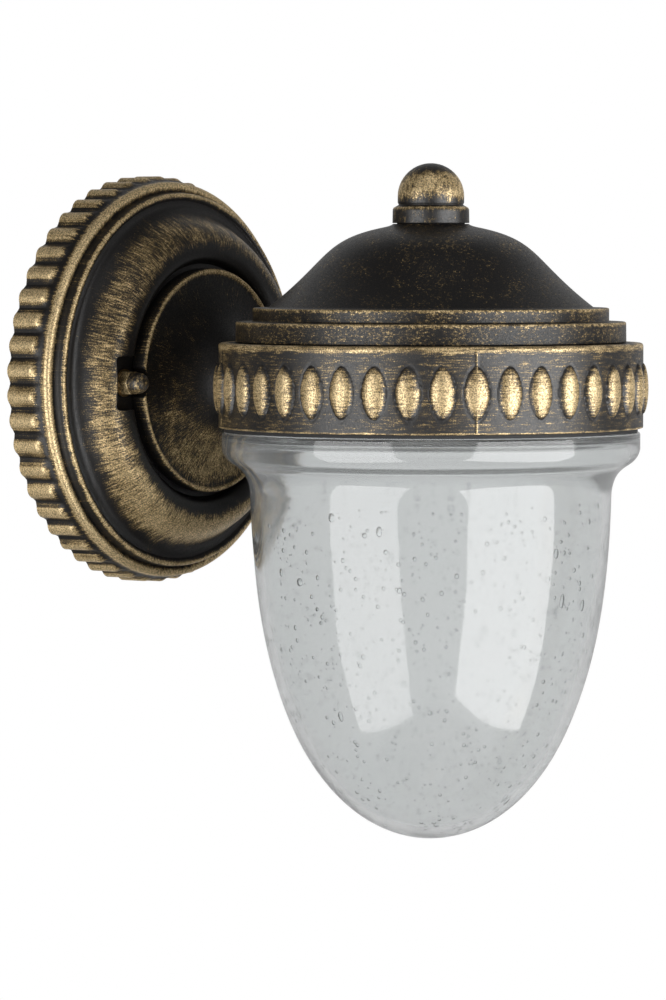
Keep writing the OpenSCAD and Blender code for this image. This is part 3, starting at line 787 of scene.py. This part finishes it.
def build_lugs():
    """The two tapped lugs inside the gallery that the bridge is screwed to."""
    for side, name in ((-1, "gallery_lug_left"), (1, "gallery_lug_right")):
        outline = rounded([(1.5, 6), (4, 6, 0.4), (4, 12.5), (1.5, 12.5)])
        lug = lathe(name, outline + [(1.5, 6)], 48, origin=(side * LUG_X * MM, AXIS_Y, 0))
        points = len(lug.data.vertices)
        set_attribute(lug, "gold", np.zeros(points))
        # partly painted light: the lugs inside the gallery take the same pale unpainted colour
        set_attribute(lug, "bare_and_lit", np.ones(points))
        lug.data.materials.append(brushed_paint(name + " paint", "none"))
        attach(lug, "wall_unit")


def build_boss():
    """The boss at the gallery's back that the arm's neck meets, and its seat inside."""
    outline = rounded([(BORE_R, NECK_END), (NECK_R, NECK_END, 0.3), (NECK_R, 60.5), (9, 60.5),
                       (9, 63), (BORE_R, 63), (BORE_R, NECK_END)])
    boss = lathe("gallery_boss", resampled(outline, 1.5), 128, axis="Y", origin=WALL_CENTRE)
    set_attribute(boss, "gold", np.full(len(boss.data.vertices), 0.12))
    boss.data.materials.append(brushed_paint("boss paint", "none"))
    return boss


# ---------------------------------------------------------------- lid and finial

LID_LOW = 15.3
PAD_TOP = 56.9      # the raised ring that the finial's collar stands over
DOME_TOP = 56.4
STUD_ROOM_R = 4.4   # the hole for the finial's stud
STEP_HIGH_R = 63
STEP_LOW_R = 69
DOME = [(13, DOME_TOP), (39, 51.87), (34.37, 45.45), (57.5, 27.5)]
LID_INSET = (2.4, 3.3)
LID_EDGE_GOLD = [(STEP_HIGH_R - 0.2, 27.0, 0.8, 0.75), (STEP_LOW_R - 0.2, 22.1, 0.8, 0.75)]


def lid_outline():
    outside = [(STUD_ROOM_R, DOME_TOP), (12.5, DOME_TOP), (12.5, PAD_TOP), (13.4, PAD_TOP)]
    outside += [(13.9, 56.5), (15.0, 56.1)]
    outside += [p for p in resampled(curve(DOME, 60), 1.1) if p[0] > 15.6]
    outside += rounded([(57.5, 27.5), (58.2, 27.3, 0.4), (STEP_HIGH_R, 27.3, 0.7),
                        (STEP_HIGH_R, 22.6, 0.5), (STEP_LOW_R, 22.4, 0.7),
                        (STEP_LOW_R + 0.1, LID_LOW, 0.2), (66, LID_LOW)])[1:]
    inset_r, inset_h = LID_INSET
    inside = [(66, 19.4), (60.2, 19.4), (59.6, 23.9), (56, 23.9)]
    inside += [(r - inset_r, h - inset_h) for r, h in curve_back(DOME, 24)] + [(STUD_ROOM_R, 53.2)]
    return resampled(outside, 1.0) + inside


def build_lid():
    lid = lathe("lid_casting", lid_outline(), 320)
    r, h, angle = polar(lid)
    edges = crests(r, h, LID_EDGE_GOLD)
    dusted = (0.08 + 0.09 * np.clip((h - 44) / 10, 0, 1)) * (h > 27.4)
    # partly painted sheen: the steps' faces carry extra gold that stands in for side light glancing
    # off them, over their real dusting of gold
    steps = 0.27 * ((h > LID_LOW) & (h < 27.2))
    set_attribute(lid, "gold", np.maximum(np.maximum(edges, dusted), steps))
    lid.data.materials.append(brushed_paint("lid paint", "dust", sheen=0.55))
    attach(lid, "lid")
    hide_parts("lid")


COLLAR_R = 13.6
COLLAR_LOW = 57.2
BALL_R = 11.75
BALL_Z = 66.55
STUD_R = 4
STUD_END = 65.2     # the stud's seat in the ball
COLLAR_GOLD = [(12.9, 62.6, 1.0, 0.8)]


def finial_outline():
    collar = rounded([(STUD_R, COLLAR_LOW), (COLLAR_R, COLLAR_LOW, 0.15), (13.5, 62.5, 1.6),
                      (11.9, 63.3, 0.4), (11.35, 63.7, 0.2), (BALL_R, 64.3, 0.3), (BALL_R, BALL_Z)])
    ball = arc((0, BALL_Z), BALL_R, 0, 90, 36)[1:-1] + [(0, BALL_Z + BALL_R)]
    return [(0, STUD_END), (STUD_R, STUD_END)] + resampled(collar, 0.5) + ball


def build_finial():
    finial = lathe("finial_casting", finial_outline(), 192)
    r, h, angle = polar(finial)
    collar_edge = crests(r, h, COLLAR_GOLD)
    ball = band(h, 68.5, 72.5, 6.0) * (h > 64.2) * 0.82 - 0.05
    collar = 0.17 * (h < 62)
    set_attribute(finial, "gold", np.maximum(np.maximum(collar_edge, ball), collar))
    finial.data.materials.append(brushed_paint("finial paint", "none"))
    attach(finial, "finial")
    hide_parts("finial")


# ---------------------------------------------------------------- glass

GLASS_BOTTOM = -161
NECK_TOP = -9
RIM_R = 74.1
RIM_TOP = -16.4
RIM_UNDER = -18.4
RIM_LOW = -22.6
NECK_OUT = 65.2             # radii of the glass's screwed neck, outside, over a thread and inside
THREAD_OUT = 66
NECK_IN = 61.6
THREADS = (-10.6, -13.6)
GLASS_T = 3.6
GLASS_COLUMNS = 288
GLASS_IOR = 1.58
GLASS_CLEAR = 0.94          # the rest is the milky veil of the seeded glass
BUBBLE_IOR = 0.83           # air in this glass would be 0.63, which draws the seeds' edges too dark
SEEDS = 2100
BLISTERS = 26
DRAW_START = 41             # where the random draws for the seeds start
SEED_SPAN = (0.01, 0.97)    # the share of the barrel, from its top, that holds seeds
SEED_DEPTH = (1.35, 2.1)    # how deep under the outside they lie
SEED_LEAST = 0.19           # half widths of the seeds
SEED_SPREAD = 0.5
SEED_LONG = 1.25            # the most that a seed, or a blister, is longer than wide
BLISTER_SIZE = (0.8, 1.2)
BLISTER_LONG = 2.4
BUBBLE_DEEPEST = 1.1        # half the most that a bubble takes of the wall's thickness
WAVE = 0.045
SHOULDER = [(RIM_R, RIM_LOW), (72.26, -30.21), (65.56, -26.5), (64.1, -37.6)]
BARREL = [(64.1, -37.6), (62.32, -137.5), (24.78, GLASS_BOTTOM), (0, GLASS_BOTTOM)]
SHOULDER_IN = [(70.6, -22.4), (69.4, -28.8), (62.2, -27.4), (60.5, -38.2)]
BARREL_IN = [(60.5, -38.2), (58.6, -135.2), (23, GLASS_BOTTOM + GLASS_T), (0, GLASS_BOTTOM + GLASS_T)]


def waves(angle, h, phase):
    """Slow, shallow waves of blown glass, in mm, never above zero: the four add up to 3 at most."""
    w = np.sin(3 * angle + 0.045 * h + phase) + 0.8 * np.sin(5 * angle - 0.07 * h + 2.1 * phase)
    w = w + 0.7 * np.sin(2 * angle + 0.11 * h + 0.7 * phase)
    w = w + 0.5 * np.sin(9 * angle + 0.16 * h + 1.3 * phase)
    return WAVE * (w - 3.0)


def glass_outlines():
    """The outside from the neck down to the bottom, and the inside from there up to the neck."""
    outside = [(NECK_IN, NECK_TOP), (NECK_OUT, NECK_TOP, 0.5)]
    for thread in THREADS:
        outside += [(NECK_OUT, thread + 0.8), (THREAD_OUT, thread, 0.4), (NECK_OUT, thread - 0.8)]
    outside = rounded(outside + [(NECK_OUT, RIM_TOP), (RIM_R, RIM_TOP, 1.2), (RIM_R, RIM_LOW)])
    outside += curve(SHOULDER, 20)[1:] + curve(BARREL, 90)[1:]
    inside = curve_back(BARREL_IN, 80) + curve_back(SHOULDER_IN, 18)[1:]
    inside += rounded([(70.6, -22.4), (70.4, RIM_UNDER, 1.6), (NECK_IN, RIM_UNDER, 0.9),
                       (NECK_IN, NECK_TOP)])[1:-1]
    return outside, inside


def build_glass():
    outside, inside = glass_outlines()
    outer_points = len(outside) * GLASS_COLUMNS

    def wavy(angle, r, h):
        on_outside = np.arange(len(r)) < outer_points
        on_wall = np.clip((-h - 30) / 12, 0, 1) * np.clip(r / 12, 0, 1)
        shift = np.where(on_outside, waves(angle, h, 0.4), -waves(angle, h, 2.9))
        return r + shift * on_wall, h

    glass = lathe("glass_shade_blown", outside + inside, GLASS_COLUMNS, wavy)
    glass.data.materials.append(glass_material("seeded glass", GLASS_IOR, GLASS_CLEAR))
    seeds = build_seeds()
    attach(glass, "glass")
    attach(seeds, "glass")
    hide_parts("glass_shade")


def wall_point(t, depth):
    """A point in the glass wall, and the way down the wall: t runs down the barrel, and depth
    from the outside in."""
    ahead = curve_at(BARREL, min(1, t + 0.004))
    back = curve_at(BARREL, max(0, t - 0.004))
    along = np.array(ahead) - np.array(back)
    along = along / np.linalg.norm(along)
    inward = np.array((along[1], -along[0]))
    if inward[0] > 0:
        inward = -inward
    return np.array(curve_at(BARREL, t)) + inward * depth, along


def wall_share(t):
    """How much wall one step of t covers, as a share of the most, so that seeds spread evenly."""
    r, h = curve_at(BARREL, t)
    r_ahead, h_ahead = curve_at(BARREL, t + 0.01)
    widest = BARREL[0][0] * 3 * (BARREL[0][1] - BARREL[1][1]) * 0.01
    return r * math.hypot(r_ahead - r, h_ahead - h) / widest


def unit_sphere(around_count, down_count):
    """Points and faces of a sphere of radius 1."""
    points = [(0, 0, 1)]
    for i in range(1, down_count):
        slope = math.pi * i / down_count
        for j in range(around_count):
            a = TAU * j / around_count
            flat = math.sin(slope)
            points.append((flat * math.cos(a), flat * math.sin(a), math.cos(slope)))
    points.append((0, 0, -1))
    last = len(points) - 1
    faces = []
    for j in range(around_count):
        k = (j + 1) % around_count
        faces.append((0, 1 + j, 1 + k))
        faces.append((last, last - around_count + k, last - around_count + j))
        for i in range(down_count - 2):
            top = 1 + i * around_count
            faces.append((top + j, top + around_count + j, top + around_count + k, top + k))
    return np.array(points), faces


def build_seeds():
    """Air bubbles in the wall: many fine ones, and a few long ones drawn out down the glass."""
    rng = random.Random(DRAW_START)
    ball, ball_faces = unit_sphere(14, 9)
    points, faces = [], []
    for k in range(SEEDS + BLISTERS):
        blister = k >= SEEDS
        t = rng.uniform(*SEED_SPAN)
        while wall_share(t) < rng.random():
            t = rng.uniform(*SEED_SPAN)
        size = rng.uniform(*BLISTER_SIZE) if blister else SEED_LEAST + SEED_SPREAD * rng.random() ** 2
        (r, h), along = wall_point(t, rng.uniform(*SEED_DEPTH))
        angle = rng.uniform(0, TAU)
        out = np.array((math.cos(angle), math.sin(angle), 0))
        down = out * along[0] + np.array((0, 0, along[1]))
        side = np.array((-math.sin(angle), math.cos(angle), 0))
        wide = size * rng.uniform(0.9, 1.25)
        tall = wide * rng.uniform(1.0, BLISTER_LONG if blister else SEED_LONG)
        deep = min(size, BUBBLE_DEEPEST)
        axes = np.stack([side * wide, np.cross(side, down) * deep, down * tall])
        centre = out * r + np.array((0, 0, h))
        first = k * len(ball)
        points.append(ball @ axes + centre)
        faces += [tuple(first + v for v in corners) for corners in ball_faces]
    points = np.concatenate(points) * MM + np.array(LANTERN_CENTRE)
    mesh = bpy.data.meshes.new("glass_seeds")
    mesh.from_pydata(points.tolist(), [], faces)
    tidy_mesh(mesh)
    mesh.materials.append(glass_material("bubble air", BUBBLE_IOR, 1))
    return add_object("glass_seeds", mesh)


# ---------------------------------------------------------------- pieces kept from the frame

def dress_frame():
    zinc = plain_metal("zinc plate", ZINC, 0.38)
    brass = plain_metal("brass", BRASS, 0.3)
    dull = plain_metal("dull brass", DULL_BRASS, 0.45)
    rubber = moulded("rubber", (0.018, 0.018, 0.019, 1), 0.72)
    porcelain = moulded("porcelain", (0.78, 0.76, 0.72, 1), 0.18)
    block = moulded("block plastic", (0.74, 0.73, 0.69, 1), 0.4)
    finishes = {
        "wall_bracket": zinc, "bracket_studs": zinc, "earth_screw": brass, "cable_grommet": rubber,
        "wall_gasket": rubber, "nut_washers": dull, "arm_screws": zinc, "terminal_block": block,
        "terminal_screws": zinc, "arm_nipple": zinc, "nipple_nuts": zinc, "nipple_washer": zinc,
        "bridge": zinc, "bridge_screws": zinc, "finial_pillar": brass, "lampholder_body": porcelain,
        "lampholder_shell": brass, "lampholder_contact": brass, "lampholder_screws": brass,
        "earth_tag": brass, "lid_gasket": rubber, "finial_stud": brass, "finial_washer": rubber,
        "stud_clip": zinc, "glass_gasket": rubber,
        "lead_live": moulded("sleeve brown", (0.13, 0.055, 0.025, 1), 0.45),
        "lead_neutral": moulded("sleeve blue", (0.03, 0.10, 0.36, 1), 0.45),
        "lead_earth": moulded("sleeve green", (0.05, 0.26, 0.07, 1), 0.45),
    }
    for name, finish in finishes.items():
        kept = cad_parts[name]
        kept.data.materials.clear()
        kept.data.materials.append(finish)


# ---------------------------------------------------------------- studio

AMBIENT = 0.06          # the dark studio in front of, beside and above the lantern
BACKDROP = 0.45         # the white paper behind it, in gloss
SEEN_THROUGH = 0.64     # the same paper as it shows through the glass
WHITE = (1, 1, 1, 1)
FLOOR_Z = -0.46
FLOOR_R = 1.3


def softbox(name, azimuth, distance, height, size, power):
    """A large rectangular lamp at an azimuth round the lantern, aimed at the lantern. Rays
    that have come through the glass miss it, or it would show in the glass as a white patch."""
    data = bpy.data.lights.new(name, "AREA")
    data.shape = "RECTANGLE"
    data.size, data.size_y = size
    data.energy = power
    lamp = add_object(name, data)
    lamp.location = around(azimuth, distance, height)
    aim = Vector((0, AXIS_Y * 0.7, -0.03))
    lamp.rotation_euler = (aim - lamp.location).to_track_quat("-Z", "Y").to_euler()
    lamp.visible_camera = False
    lamp.visible_transmission = False


def add_world():
    """White paper to the camera; to gloss and bounced light, paper behind and dark in front."""
    world = bpy.data.worlds.new("studio")
    bpy.context.scene.world = world
    world.use_nodes = True
    tree = world.node_tree
    background = tree.nodes["Background"]
    background.inputs["Color"].default_value = WHITE
    behind = -around(CAMERA_AZIMUTH, 1, 0) + Vector((0, AXIS_Y, 0))
    way = tree.nodes.new("ShaderNodeTexCoord").outputs["Generated"]
    away = vector_node(tree, "DOT_PRODUCT", way, behind)
    strength = ramp(tree, away, 0.2, 0.9, AMBIENT, BACKDROP)
    path = tree.nodes.new("ShaderNodeLightPath")
    for ray, level in (("Is Transmission Ray", SEEN_THROUGH), ("Is Camera Ray", 1.0)):
        gap = math_node(tree, "SUBTRACT", level, strength)
        step = math_node(tree, "MULTIPLY", path.outputs[ray], gap)
        strength = math_node(tree, "ADD", strength, step)
    tree.links.new(strength, background.inputs["Strength"])


def add_floor():
    """A pale disc under the lantern that takes no part in its light or reflections."""
    bpy.ops.mesh.primitive_circle_add(vertices=96, radius=FLOOR_R, fill_type="NGON",
                                      location=(0, AXIS_Y, FLOOR_Z))
    floor = bpy.context.object
    floor.name = "floor"
    pale = moulded("pale floor", (0.82, 0.82, 0.81, 1), 0.6)
    shader = pale.node_tree.nodes["Principled BSDF"]
    shader.inputs["Emission Color"].default_value = WHITE
    shader.inputs["Emission Strength"].default_value = 0.4
    floor.data.materials.append(pale)
    floor.visible_shadow = False
    floor.visible_diffuse = False
    floor.visible_glossy = False
    floor.visible_transmission = False


def add_studio():
    softbox("left softbox", CAMERA_AZIMUTH - 43, 1.5, -0.42, (1.3, 2.05), 24)
    softbox("right softbox", CAMERA_AZIMUTH + 54, 1.6, -0.38, (1.9, 2.05), 47)
    softbox("top softbox", CAMERA_AZIMUTH + 10, 0.9, 1.5, (1.2, 1.2), 2)
    add_world()
    add_floor()
    scene = bpy.context.scene
    scene.view_settings.view_transform = "Standard"
    scene.cycles.use_denoising = True
    scene.cycles.max_bounces = 32
    scene.cycles.transmission_bounces = 28
    scene.cycles.glossy_bounces = 8


add_camera()
build_plate()
build_arm()
build_nuts()
build_gallery()
build_lid()
build_finial()
build_glass()
dress_frame()
add_studio()
